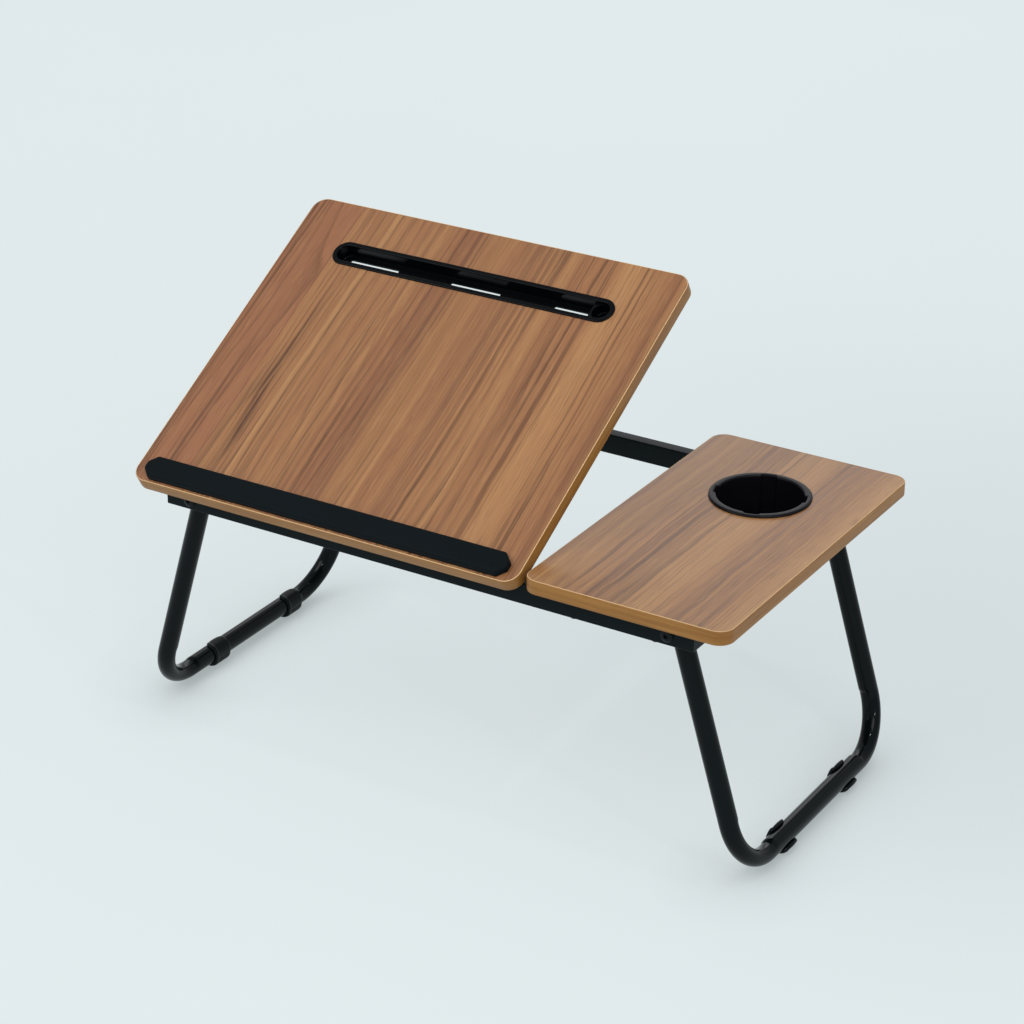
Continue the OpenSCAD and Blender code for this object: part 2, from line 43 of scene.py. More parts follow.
# ---------------------------------------------------------------- numbers, mm
X0L, X1L, X0R, X1R = -272.0, 98.0, 102.0, 279.0
XCL, XCR = -87.0, 190.5
DEPTH, THICK, CORNER, BAND = 320.0, 12.0, 13.0, 1.0
RAIL_TOP, RAIL_H, RAIL_W, RAIL_WALL = 223.5, 18.0, 11.5, 1.2
FX, FY0, FY1 = 246.0, 12.0, 301.0
RAIL_Z0 = RAIL_TOP - RAIL_H
UNDER = RAIL_TOP + 0.5
FLAT = UNDER + THICK
TOP_R = RAIL_TOP + THICK
HY, HZ = 11.2, 226.3
Y_MID = 158.325
TILT = 30.0
PX, PZ = 223.1, 214.0
SPLAY = 16.6
TUBE_R, TUBE_WALL, BEND_R = 8.0, 1.2, 44.0
CLIP_R, CLIP_T, CLIP_LEN = 8.05, 3.4, 25.0
RUN_Z = CLIP_R + CLIP_T
LEG_H = (PZ - RUN_Z) / math.cos(rad(SPLAY))
LY0, LY1 = 32.0, 281.0
RUN_X = PX + LEG_H * math.sin(rad(SPLAY))
CLIP_YS = (LY0 + BEND_R + 26, LY1 - BEND_R - 26)
SLOT_V, SLOT_LEN, SLOT_W = 267.0, 275.0, 25.0
CUP_X, CUP_Y, CUP_R = XCR, 225.0, 35.5

PLACE = Matrix.Translation((0, -Y_MID * MM, 0))
TILTED = Matrix.Translation((0, (HY - Y_MID) * MM, HZ * MM)) @ Matrix.Rotation(rad(TILT), 4, "X") @ Matrix.Translation((0, -HY * MM, -HZ * MM))


# ---------------------------------------------------------------- mesh helpers
def scene_mesh(name, verts, faces, mat, body, matrix=PLACE, sharp=32, face_mats=None, mats=None, smooth=True):
    """verts in mm; one closed piece, merged, normals outward, riding on a body."""
    me = bpy.data.meshes.new(name)
    me.from_pydata([(x * MM, y * MM, z * MM) for x, y, z in verts], [], faces)
    for m in (mats or [mat]):
        me.materials.append(m)
    if face_mats:
        for p, i in zip(me.polygons, face_mats):
            p.material_index = i
    bm = bmesh.new()
    bm.from_mesh(me)
    bm.transform(matrix)
    bmesh.ops.remove_doubles(bm, verts=bm.verts, dist=2e-6)
    bmesh.ops.dissolve_degenerate(bm, edges=bm.edges, dist=1e-7)
    bmesh.ops.recalc_face_normals(bm, faces=bm.faces)
    bm.to_mesh(me)
    bm.free()
    if smooth:
        me.shade_smooth()
        me.set_sharp_from_angle(angle=rad(sharp))
    ob = bpy.data.objects.new(name, me)
    bpy.context.scene.collection.objects.link(ob)
    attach(ob, body)
    return ob


class Geo:
    """Collects vertices and faces."""
    def __init__(self):
        self.v, self.f, self.m = [], [], []

    def loop(self, pts):
        i = len(self.v)
        self.v.extend(tuple(p) for p in pts)
        return list(range(i, i + len(pts)))

    def face(self, idx, m=0):
        self.f.append(tuple(idx))
        self.m.append(m)

    def strip(self, a, b, closed=True, m=0):
        n = len(a)
        for i in range(n if closed else n - 1):
            j = (i + 1) % n
            self.face((a[i], a[j], b[j], b[i]), m)

    def loft(self, loops, closed=True, m=0):
        ids = [self.loop(l) for l in loops]
        for a, b in zip(ids, ids[1:]):
            self.strip(a, b, closed, m)
        return ids

    def fill(self, *loops, m=0):
        """Flat face with holes from index loops."""
        pts = [[Vector(self.v[i]) for i in l] for l in loops]
        flat = [i for l in loops for i in l]
        for t in tessellate_polygon(pts):
            self.face([flat[k] for k in t], m)

    def merge(self, other, matrix=None):
        k = len(self.v)
        self.v.extend(tuple(matrix @ Vector(p)) if matrix else p for p in other.v)
        self.f.extend(tuple(i + k for i in f) for f in other.f)
        self.m.extend(other.m)


def arc(cx, cy, r, a0, a1, n):
    return [(cx + r * math.cos(rad(a0 + (a1 - a0) * i / n)), cy + r * math.sin(rad(a0 + (a1 - a0) * i / n))) for i in range(n + 1)]


def rrect(x0, y0, x1, y1, r, n=10):
    """Rounded rectangle, counter-clockwise."""
    out = []
    for cx, cy, a in ((x1 - r, y1 - r, 0), (x0 + r, y1 - r, 90), (x0 + r, y0 + r, 180), (x1 - r, y0 + r, 270)):
        out += arc(cx, cy, r, a, a + 90, n)
    return out


def stadium(length, width, n=20):
    r = width / 2
    h = length / 2 - r
    return arc(h, 0, r, -90, 90, n) + arc(-h, 0, r, 90, 270, n)


def circle(cx, cy, r, n=48, a0=0):
    return [(cx + r * math.cos(rad(a0 + 360 * i / n)), cy + r * math.sin(rad(a0 + 360 * i / n))) for i in range(n)]


def at_z(pts, z):
    return [(x, y, z) for x, y in pts]


def smooth01(t):
    t = max(0.0, min(1.0, t))
    return t * t * (3 - 2 * t)


# ---------------------------------------------------------------- materials
def lin(c):
    c = c / 255
    return c / 12.92 if c <= 0.04045 else ((c + 0.055) / 1.055) ** 2.4


def rgb(r, g, b):
    return (lin(r), lin(g), lin(b), 1)


class Nodes:
    def __init__(self, name):
        self.mat = bpy.data.materials.new(name)
        self.mat.use_nodes = True
        self.t = self.mat.node_tree
        self.bsdf = next(n for n in self.t.nodes if n.type == "BSDF_PRINCIPLED")

    def new(self, kind, **props):
        n = self.t.nodes.new(kind)
        for k, v in props.items():
            setattr(n, k, v)
        return n

    def link(self, a, b):
        self.t.links.new(a, b)

    def put(self, socket, value):
        if hasattr(value, "is_output"):
            self.link(value, socket)
        else:
            socket.default_value = value

    def coords(self, loc=(0, 0, 0), rot=(0, 0, 0)):
        c = self.new("ShaderNodeTexCoord").outputs["Object"]
        m = self.new("ShaderNodeMapping", vector_type="TEXTURE")
        m.inputs["Location"].default_value = loc
        m.inputs["Rotation"].default_value = rot
        self.link(c, m.inputs["Vector"])
        return m.outputs["Vector"]

    def scaled(self, vec, sx, sy, sz, off=(0, 0, 0)):
        m = self.new("ShaderNodeMapping", vector_type="POINT")
        m.inputs["Scale"].default_value = (sx, sy, sz)
        m.inputs["Location"].default_value = off
        self.link(vec, m.inputs["Vector"])
        return m.outputs["Vector"]

    def noise(self, vec, scale=1.0, detail=2.0, rough=0.5, distortion=0.0):
        n = self.new("ShaderNodeTexNoise")
        n.noise_dimensions = "3D"
        self.link(vec, n.inputs["Vector"])
        n.inputs["Scale"].default_value = scale
        n.inputs["Detail"].default_value = detail
        n.inputs["Roughness"].default_value = rough
        n.inputs["Distortion"].default_value = distortion
        return n.outputs[0]

    def math(self, op, a, b=0.0, c=0.0, clamp=False):
        n = self.new("ShaderNodeMath", operation=op)
        n.use_clamp = clamp
        for s, v in zip(n.inputs, (a, b, c)):
            self.put(s, v)
        return n.outputs[0]

    def span(self, v, a, b, lo=0.0, hi=1.0, kind="SMOOTHSTEP"):
        n = self.new("ShaderNodeMapRange", interpolation_type=kind)
        self.link(v, n.inputs["Value"])
        n.inputs["From Min"].default_value = a
        n.inputs["From Max"].default_value = b
        n.inputs["To Min"].default_value = lo
        n.inputs["To Max"].default_value = hi
        return n.outputs[0]

    def ramp(self, v, stops):
        n = self.new("ShaderNodeValToRGB")
        e = n.color_ramp.elements
        while len(e) < len(stops):
            e.new(0.5)
        for el, (p, c) in zip(e, stops):
            el.position = p
            el.color = c
        self.link(v, n.inputs["Fac"])
        return n.outputs["Color"]

    def mix(self, fac, a, b, mode="MIX"):
        n = self.new("ShaderNodeMix", data_type="RGBA", blend_type=mode)
        self.put(n.inputs[0], fac)
        self.put(n.inputs[6], a)
        self.put(n.inputs[7], b)
        return n.outputs[2]

    def bump(self, height, strength, distance):
        n = self.new("ShaderNodeBump")
        n.inputs["Strength"].default_value = strength
        n.inputs["Distance"].default_value = distance
        self.link(height, n.inputs["Height"])
        self.link(n.outputs["Normal"], self.bsdf.inputs["Normal"])

    def set(self, **values):
        names = {"rough": "Roughness", "color": "Base Color", "spec": "Specular IOR Level", "metal": "Metallic",
                 "coat": "Coat Weight", "coat_rough": "Coat Roughness", "ior": "IOR", "sheen": "Sheen Weight"}
        for k, v in values.items():
            self.put(self.bsdf.inputs[names[k]], v)
        return self.mat


def wood(name, loc, rot, seed, warm, cathedral, tint, x0, width, wave, redness, layout):
    """Walnut-print laminate: grain along the board's depth, in crisp strips, fine lines, growth rings and short pores."""
    m = Nodes(name)
    p = m.coords(loc, rot)
    sep = m.new("ShaderNodeSeparateXYZ")
    m.link(p, sep.inputs[0])
    x, y = sep.outputs[0], sep.outputs[1]
    o = seed * 7.31

    def combine(a, c):
        n = m.new("ShaderNodeCombineXYZ")
        m.link(a, n.inputs[0])
        m.link(c, n.inputs[1])
        return n.outputs[0]

    def centred(v, k):
        return m.math("MULTIPLY", m.math("SUBTRACT", v, 0.5), k)

    def white(v, shift):
        n = m.new("ShaderNodeTexWhiteNoise", noise_dimensions="1D")
        m.link(m.math("ADD", v, shift), n.inputs["W"])
        return n.outputs[0]

    # slow slant of the grain, then finer wandering of its lines
    w1 = m.noise(m.scaled(p, 3.2, 1.1, 1, (o, 1.3, 0)), 1, 1.0)
    w2 = m.noise(m.scaled(p, 18, wave[1], 1, (o, 5.1, 0)), 1, 2.0)
    w3 = m.noise(m.scaled(p, 60, 22, 1, (o, 2.2, 0)), 1, 2.0)
    xs = m.math("ADD", x, centred(w1, 0.030))
    xs = m.math("ADD", xs, centred(w2, wave[0]))
    xs = m.math("ADD", xs, centred(w3, 0.0016))
    g = combine(xs, y)

    def strips(per_metre, jitter, shift):
        """Side by side strips of uneven width, each with its own tone and a dark edge."""
        j = m.noise(m.scaled(combine(xs, m.math("MULTIPLY", y, 0.0)), per_metre * 0.55, 1, 1, (o + shift, 0, 0)), 1, 1.0)
        u = m.math("ADD", m.math("MULTIPLY", xs, per_metre), centred(j, jitter))
        k = m.math("FLOOR", u)
        f = m.math("FRACT", u)
        tone = white(k, o + shift)
        edge = m.math("MULTIPLY", m.math("POWER", f, 6.0), m.span(white(k, o + shift + 40.5), 0.35, 1.0, 0.0, 1.0, "LINEAR"))
        # ease from each strip's tone to the next one's over its last part
        nxt = white(m.math("ADD", k, 1.0), o + shift)
        blend = m.span(f, 0.90, 1.0)
        tone = m.math("ADD", tone, m.math("MULTIPLY", m.math("SUBTRACT", nxt, tone), blend))
        return tone, edge

    s1, e1 = strips(46.0, 2.6, 0.0)
    s2, e2 = strips(150.0, 2.2, 11.0)
    broad = m.noise(m.scaled(g, 15, 0.9, 1, (o, 2, 3)), 1, 2.0, 0.5)
    mid = m.noise(m.scaled(g, 95, 0.8, 1, (o + 3, 4, 1)), 1, 2.0, 0.6)
    streak = m.noise(m.scaled(g, 300, 1.3, 1, (o + 6, 1, 2)), 1, 2.0, 0.65)
    fibre = m.noise(m.scaled(g, 900, 7, 1, (o, 9, 2)), 1, 2.0, 0.6)
    # growth rings: level lines of a long smooth field, dark on one side
    field = m.noise(m.scaled(g, 13.0, 2.0, 1, (o + cathedral[0], 0.4, 5)), 1, 1.0, 0.4)
    rings = m.math("FRACT", m.math("ADD", m.math("MULTIPLY", field, 7.5), m.math("MULTIPLY", xs, 62.0)))
    ring = m.math("MULTIPLY", m.math("POWER", rings, 7.0), m.span(rings, 0.95, 1.0, 1.0, 0.0))
    ring_mask = m.span(m.noise(m.scaled(g, 9, 2.2, 1, (o + cathedral[1], 3, 1)), 1, 1.0), 0.44, 0.60)
    ring = m.math("MULTIPLY", ring, ring_mask)
    # thin dark lines, in groups
    thin = m.noise(m.scaled(g, 105, 0.7, 1, (o + 8, 2, 6)), 1, 1.0, 0.5)
    thin = m.span(m.math("ABSOLUTE", m.math("SUBTRACT", thin, 0.5)), 0.0, 0.034, 1.0, 0.0)
    thin = m.math("MULTIPLY", thin, m.span(m.noise(m.scaled(g, 30, 1.5, 1, (o + 12, 1, 3)), 1, 2.0), 0.43, 0.58, 0.12, 1.0))
    # short dark pores and pale flecks between them
    pores = m.noise(m.scaled(g, 1150, 34, 1, (o + 2, 7, 4)), 1, 1.0)
    pore = m.math("MULTIPLY", m.span(pores, 0.58, 0.68), m.span(mid, 0.38, 0.58, 0.25, 1.0))
    fleck = m.span(pores, 0.42, 0.32)

    # the order of lighter and darker planks across the board
    plan = m.new("ShaderNodeFloatCurve")
    pts = plan.mapping.curves[0].points
    while len(pts) < len(layout):
        pts.new(0.5, 0.5)
    for q, (a, c) in zip(pts, layout):
        q.location = (a, c)
        q.handle_type = "AUTO"
    plan.mapping.update()
    m.link(m.math("DIVIDE", m.math("SUBTRACT", xs, x0), width), plan.inputs["Value"])
    tone = m.math("ADD", m.math("MULTIPLY", s1, 0.22), m.math("MULTIPLY", plan.outputs[0], 0.34))
    for v, k in ((broad, 0.10), (s2, 0.16), (mid, 0.46), (streak, 0.48), (fibre, 0.20)):
        tone = m.math("ADD", tone, m.math("MULTIPLY", v, k))
    col = m.ramp(m.span(tone, 0.60, 1.30, 0, 1, "LINEAR"), [
        (0.00, rgb(110, 70, 46)), (0.22, rgb(136, 92, 61)), (0.45, rgb(157, 110, 72)), (0.66, rgb(169, 122, 80)), (1.0, rgb(183, 138, 93))])
    red = m.span(m.noise(m.scaled(g, 30, 0.8, 1, (o + 4, 6, 7)), 1, 2.0), 0.46, 0.60)
    col = m.mix(m.math("MULTIPLY", red, redness), col, rgb(143, 90, 60))
    # redder strip along one side, with a crisp boundary
    strip = m.span(xs, warm[0], warm[1])
    col = m.mix(m.math("MULTIPLY", strip, warm[2]), col, rgb(148, 95, 66))
    line = m.span(m.math("ABSOLUTE", m.math("SUBTRACT", xs, warm[1])), 0.0, 0.0011, 1.0, 0.0)
    dark = m.math("ADD", m.math("MULTIPLY", e1, 0.62), m.math("MULTIPLY", e2, 0.26))
    dark = m.math("ADD", dark, m.math("MULTIPLY", ring, 0.62))
    dark = m.math("ADD", dark, m.math("MULTIPLY", thin, 0.70))
    dark = m.math("ADD", dark, m.math("MULTIPLY", line, 0.42), clamp=True)
    col = m.mix(dark, col, rgb(90, 53, 29))
    col = m.mix(m.math("MULTIPLY", pore, 0.30), col, rgb(80, 46, 29))
    col = m.mix(m.math("MULTIPLY", fleck, 0.16), col, rgb(206, 163, 112))
    col = m.mix(1.0, col, tint, "MULTIPLY")
    m.bump(m.math("SUBTRACT", m.math("MULTIPLY", fibre, 0.5), pore), 0.18, 0.00012)
    rough = m.math("ADD", m.math("MULTIPLY", streak, 0.12), 0.33)
    return m.set(color=col, rough=rough, spec=0.50)


def band(name, loc, rot, seed, painted_highlight=0.0):
    """Printed edge band: fine lines along the edge. A nonzero last argument mixes the colour toward pale tan, a painted
    highlight for the rounded top edge.
    """
    m = Nodes(name)
    p = m.coords(loc, rot)
    o = seed * 3.7
    a = m.noise(m.scaled(p, 7, 7, 330, (o, 0, 0)), 1, 2.0, 0.5)
    b = m.noise(m.scaled(p, 26, 26, 900, (o, 4, 2)), 1, 2.0, 0.6)
    c = m.noise(m.scaled(p, 70, 70, 1100, (o, 1, 2)), 1, 1.0)
    d = m.noise(m.scaled(p, 11, 11, 60, (o, 3, 5)), 1, 2.0)
    tone = m.math("ADD", m.math("MULTIPLY", a, 0.36), m.math("MULTIPLY", b, 0.28))
    tone = m.math("ADD", tone, m.math("MULTIPLY", d, 0.36))
    col = m.ramp(m.span(tone, 0.34, 0.68, 0, 1, "LINEAR"), [
        (0.0, rgb(124, 82, 34)), (0.5, rgb(142, 98, 45)), (1.0, rgb(158, 115, 58))])
    col = m.mix(m.math("MULTIPLY", m.span(c, 0.58, 0.68), 0.30), col, rgb(118, 72, 28))
    # painted highlight: the band's colour pushed toward a pale tan, a lit copy of the band for its rounded top edge
    if painted_highlight:
        col = m.mix(painted_highlight, col, rgb(238, 204, 160))
    m.bump(b, 0.10, 0.0001)
    return m.set(color=col, rough=m.math("ADD", m.math("MULTIPLY", a, 0.1), 0.36), spec=0.30)


def coated(name, color, rough, spec, grain=900, depth=0.00003, strength=0.25, wave=0.06, coat=0.0, coat_rough=0.1):
    """Black coated or moulded surface: fine orange peel and slightly uneven gloss."""
    m = Nodes(name)
    p = m.coords()
    a = m.noise(m.scaled(p, grain, grain, grain), 1, 2.0, 0.5)
    b = m.noise(m.scaled(p, 14, 14, 14), 1, 3.0, 0.6)
    c = m.mix(b, tuple(v * 0.82 for v in color[:3]) + (1,), tuple(min(1, v * 1.2) for v in color[:3]) + (1,))
    m.bump(a, strength, depth)
    r = m.math("ADD", m.math("MULTIPLY", m.math("SUBTRACT", b, 0.5), wave), rough)
    return m.set(color=c, rough=r, spec=spec, coat=coat, coat_rough=coat_rough)


def zinc(name):
    m = Nodes(name)
    p = m.coords()
    a = m.noise(m.scaled(p, 160, 160, 160), 1, 4.0, 0.6)
    b = m.noise(m.scaled(p, 2500, 300, 2500), 1, 2.0)
    c = m.ramp(a, [(0.3, rgb(150, 152, 154)), (0.7, rgb(196, 197, 196))])
    m.bump(b, 0.15, 0.00003)
    return m.set(color=c, rough=m.math("ADD", m.math("MULTIPLY", a, 0.25), 0.22), metal=1.0)


HINGE_LOC = (0, (HY - Y_MID) * MM, HZ * MM)
M = {}
M["board_l"] = wood("laminate_left", HINGE_LOC, (rad(TILT), 0, 0), 1, (-0.2245, -0.2255, 0.72), (1.7, 9.0), (0.87, 0.84, 0.77, 1), X0L * MM, (X1L - X0L) * MM, (0.0062, 5.0), 0.30,
                    [(0.0, 0.46), (0.11, 0.48), (0.135, 0.84), (0.22, 0.70), (0.30, 0.74), (0.37, 0.42), (0.42, 0.18), (0.47, 0.42), (0.54, 0.62),
                     (0.60, 0.26), (0.65, 0.24), (0.70, 0.66), (0.80, 0.78), (0.86, 0.48), (0.91, 0.26), (0.96, 0.44), (1.0, 0.42)])
M["board_r"] = wood("laminate_right", (0, -Y_MID * MM, 0), (0, 0, 0), 2, (0.400, 0.402, 0.5), (4.1, 6.0), (0.84, 0.83, 0.66, 1), X0R * MM, (X1R - X0R) * MM, (0.0100, 8.5), 0.12,
                    [(0.0, 0.72), (0.12, 0.62), (0.22, 0.46), (0.32, 0.22), (0.40, 0.34), (0.50, 0.72), (0.60, 0.84), (0.68, 0.52), (0.76, 0.36),
                     (0.85, 0.60), (0.93, 0.42), (1.0, 0.62)])
M["band_l"] = band("edge_band_left", HINGE_LOC, (rad(TILT), 0, 0), 1)
M["band_r"] = band("edge_band_right", (0, 0, 0), (0, 0, 0), 2)
# lighter copies of the band material: a painted highlight along the boards' rounded top edges
M["lip_l"] = band("edge_lip_painted_highlight_left", HINGE_LOC, (rad(TILT), 0, 0), 1, 0.60)
M["lip_r"] = band("edge_lip_painted_highlight_right", (0, 0, 0), (0, 0, 0), 2, 0.55)
M["insert"] = coated("insert_plastic", rgb(4, 6, 9), 0.22, 0.09, grain=1400, depth=0.00002, wave=0.06)
M["cup"] = coated("cup_plastic", rgb(12, 11, 16), 0.34, 0.11, grain=1600, depth=0.00003)
M["stop"] = coated("stop_rubber", rgb(7, 15, 19), 0.58, 0.07, grain=1300, depth=0.00005, strength=0.4)
M["frame"] = coated("frame_paint", rgb(5, 16, 19), 0.42, 0.09, grain=1100, depth=0.00004, strength=0.3)
M["leg"] = coated("leg_paint", rgb(4, 11, 14), 0.12, 0.12, grain=300, depth=0.00001, strength=0.10, wave=0.04)
M["foot"] = coated("foot_rubber", rgb(4, 12, 15), 0.34, 0.11, grain=1500, depth=0.00003, strength=0.3)
M["steel"] = coated("black_steel", rgb(8, 15, 18), 0.30, 0.13, grain=1200, depth=0.00003)
M["zinc"] = zinc("zinc_plate")


def finish_node(names, mat):
    for n in names:
        o = nodes[n]
        if not o.material_slots:
            o.data.materials.append(mat)
        for s in o.material_slots:
            s.material = mat


# ---------------------------------------------------------------- boards
finish_node(["left_board"], M["board_l"])
finish_node(["right_board"], M["board_r"])


def edge_band(name, x0, x1, z0, mat, body, matrix):
    """Ring round the board's edge with its outer corners eased."""
    z1 = z0 + THICK
    r = 0.85
    prof = [(BAND, z1), (r, z1)]
    prof += [(r - r * math.sin(rad(a)), z1 - r + r * math.cos(rad(a))) for a in (15, 30, 45, 60, 75, 90)]
    prof += [(r - r * math.cos(rad(a)), z0 + r - r * math.sin(rad(a))) for a in (0, 15, 30, 45, 60, 75)]
    prof += [(r, z0), (BAND, z0)]
    g = Geo()
    loops = [at_z(rrect(x0 + t, t, x1 - t, DEPTH - t, CORNER - t, 18), z) for t, z in prof]
    ids = [g.loop(l) for l in loops]
    # the faces of the upper rounding take the lighter lip material, a painted highlight
    for k, (a, b) in enumerate(zip(ids, ids[1:])):
        g.strip(a, b, m=1 if 0 < k < 4 else 0)
    g.strip(ids[-1], ids[0])
    ob = scene_mesh(name, g.v, g.f, None, body, matrix, sharp=50, face_mats=g.m, mats=[mat, M["lip_" + name[-1]]])
    return ob


o = edge_band("edge_band_l", X0L, X1L, UNDER, M["band_l"], "tilt_board", TILTED)
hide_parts("left_edge_band")
o = edge_band("edge_band_r", X0R, X1R, RAIL_TOP, M["band_r"], "frame", PLACE)
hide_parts("right_edge_band")


# ---------------------------------------------------------------- stop bar
def cut_corner_outline(l, w, d, c=7.2, r=2.4, n=6):
    """Rectangle l by w with cut corners, pulled in by d, every vertex rounded."""
    k = c - d * (2 - math.sqrt(2))
    x0, x1, y0, y1 = d, l - d, d, w - d
    pts = [(x1 - k, y0), (x1, y0 + k), (x1, y1 - k), (x1 - k, y1), (x0 + k, y1), (x0, y1 - k), (x0, y0 + k), (x0 + k, y0)]
    rr = max(0.6, r - d * 0.5)
    out = []
    for i, p in enumerate(pts):
        p = Vector(p)
        a, b = Vector(pts[i - 1]), Vector(pts[(i + 1) % 8])
        da, db = (a - p).normalized(), (b - p).normalized()
        half = math.acos(max(-1, min(1, da.dot(db)))) / 2
        t = min(rr / math.tan(half), (a - p).length * 0.48, (b - p).length * 0.48)
        r_here = t * math.tan(half)
        cen = p + (da + db).normalized() * (r_here / math.sin(half))
        s, e = p + da * t, p + db * t
        a0 = math.atan2(s.y - cen.y, s.x - cen.x)
        a1 = math.atan2(e.y - cen.y, e.x - cen.x)
        while a1 < a0:
            a1 += 2 * math.pi
        for j in range(n + 1):
            a = a0 + (a1 - a0) * j / n
            out.append((cen.x + r_here * math.cos(a), cen.y + r_here * math.sin(a)))
    return out


def stop_bar():
    l, w, h = 349.0, 21.0, 6.5
    ox, oy = XCL + 0.3 - l / 2, 2.65
    prof = [(0.35, 0.0), (0.0, 0.35)]
    r = 2.4
    prof += [(0.0, 1.8), (0.0, h - r - 0.4)]
    prof += [(r * (1 - math.cos(rad(a))), h - r - 0.4 + (r + 0.4) * math.sin(rad(a))) for a in (12, 24, 36, 48, 60, 72, 81)]
    g = Geo()
    loops = [[(ox + x, oy + y, FLAT + z) for x, y in cut_corner_outline(l, w, d)] for d, z in prof]
    top = [(ox + x, oy + y, FLAT + h) for x, y in cut_corner_outline(l, w, r * 1.04)]
    loops.append(top)
    ids = g.loft(loops)
    g.fill(ids[0])
    # small moulding dimple near the right-hand end
    cx, cy = ox + l - 12.0, oy + 6.2
    rim = g.loop(at_z(circle(cx, cy, 0.75, 16), FLAT + h))
    low = g.loop(at_z(circle(cx, cy, 0.45, 16), FLAT + h - 0.4))
    g.fill(ids[-1], list(reversed(rim)))
    g.strip(rim, low)
    g.fill(low)
    ob = scene_mesh("stop_bar_body", g.v, g.f, M["stop"], "tilt_board", TILTED, sharp=28)
    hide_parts("stop_bar")


stop_bar()


# ---------------------------------------------------------------- tablet slot insert
def slot_insert():
    n = 24
    l_in, w_in = SLOT_LEN - 8.4, SLOT_W - 8.4
    z_bot, z_floor = UNDER - 1.7, UNDER - 0.1
    z_rim = FLAT + 1.2
    def st(off, z):
        return at_z([(x + XCL, y + SLOT_V) for x, y in stadium(l_in + 2 * off, w_in + 2 * off, n)], z)
    g = Geo()
    outer = [st(1.6, z_bot + 0.3), st(1.6, FLAT), st(4.2, FLAT), st(4.2, FLAT + 0.25)]
    outer += [st(4.2 - 0.9 * (1 - math.cos(rad(a))), FLAT + 0.25 + 0.95 * math.sin(rad(a))) for a in (18, 36, 54, 72, 90)]
    outer += [st(0.75, z_rim)]
    outer += [st(0.75 * (1 - math.sin(rad(a))), z_rim - 0.75 * (1 - math.cos(rad(a)))) for a in (22, 45, 67, 90)]
    ids = g.loft(outer)
    # trough: wall down to the shelf at the right-hand end, then the shelf's end and the floor
    shelf_z = FLAT - 2.5
    wx = XCL + 125.0
    edge_x = wx - w_in / 2 - 1.5
    last = ids[-1]
    wall = g.loop([(x, y, shelf_z if x > edge_x - 0.01 else shelf_z) for x, y, z in [g.v[i] for i in last]])
    g.strip(last, wall)
    # floor outline: left part of the stadium, cut by the shelf's end
    r = w_in / 2
    left = [(XCL + x, SLOT_V + y) for x, y in arc(-(l_in / 2 - r), 0, r, 90, 270, n)]
    fl = [(edge_x, SLOT_V + r)] + left + [(edge_x, SLOT_V - r)]
    floor_top = g.loop(at_z(fl, shelf_z))
    floor_low = g.loop(at_z(fl, z_floor + 0.5))
    in2 = []
    for x, y in fl:
        in2.append((min(x, edge_x - 0.0) + (0.35 if x < XCL - (l_in / 2 - r) else 0), SLOT_V + (y - SLOT_V) * (r - 0.5) / r))
    floor = g.loop(at_z(in2, z_floor))
    g.strip(floor_top, floor_low)
    g.strip(floor_low, floor)
    wins_t, wins_b = [], []
    for k, cx in enumerate((-101.5, 0.0, 101.5)):
        ww, wl = 10.6, 49.0
        if cx > 100:
            wl, cx = 36.8, 95.4
        w = [(XCL + x, SLOT_V - w_in / 2 + 1 + ww / 2 + y) for x, y in [(p[0] + cx, p[1]) for p in rrect(-wl / 2, -ww / 2, wl / 2, ww / 2, 1.2, 5)]]
        a = g.loop(at_z(w, z_floor))
        b = g.loop(at_z(w, z_bot))
        g.strip(a, b)
        wins_t.append(a)
        wins_b.append(b)
    g.fill(floor, *wins_t)
    # shelf with the round well
    right = [(XCL + x, SLOT_V + y) for x, y in arc(l_in / 2 - r, 0, r, -90, 90, n)]
    sh = [(edge_x, SLOT_V - r)] + right + [(edge_x, SLOT_V + r)]
    shelf = g.loop(at_z(sh, shelf_z))
    w_top = g.loop(at_z(circle(wx, SLOT_V, 8.1, 40), shelf_z))
    w_low = g.loop(at_z(circle(wx, SLOT_V, 8.1, 40), z_floor + 0.8))
    w_end = g.loop(at_z(circle(wx, SLOT_V, 7.3, 40), z_floor))
    g.fill(shelf, w_top)
    g.strip(w_top, w_low)
    g.strip(w_low, w_end)
    g.fill(w_end)
    # underside
    bot = g.loop([(x, y, z_bot) for x, y, z in st(1.3, z_bot)])
    g.strip(ids[0], bot)
    g.fill(bot, *wins_b)
    ob = scene_mesh("slot_insert_body", g.v, g.f, M["insert"], "tilt_board", TILTED, sharp=34)
    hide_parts("slot_insert")


slot_insert()


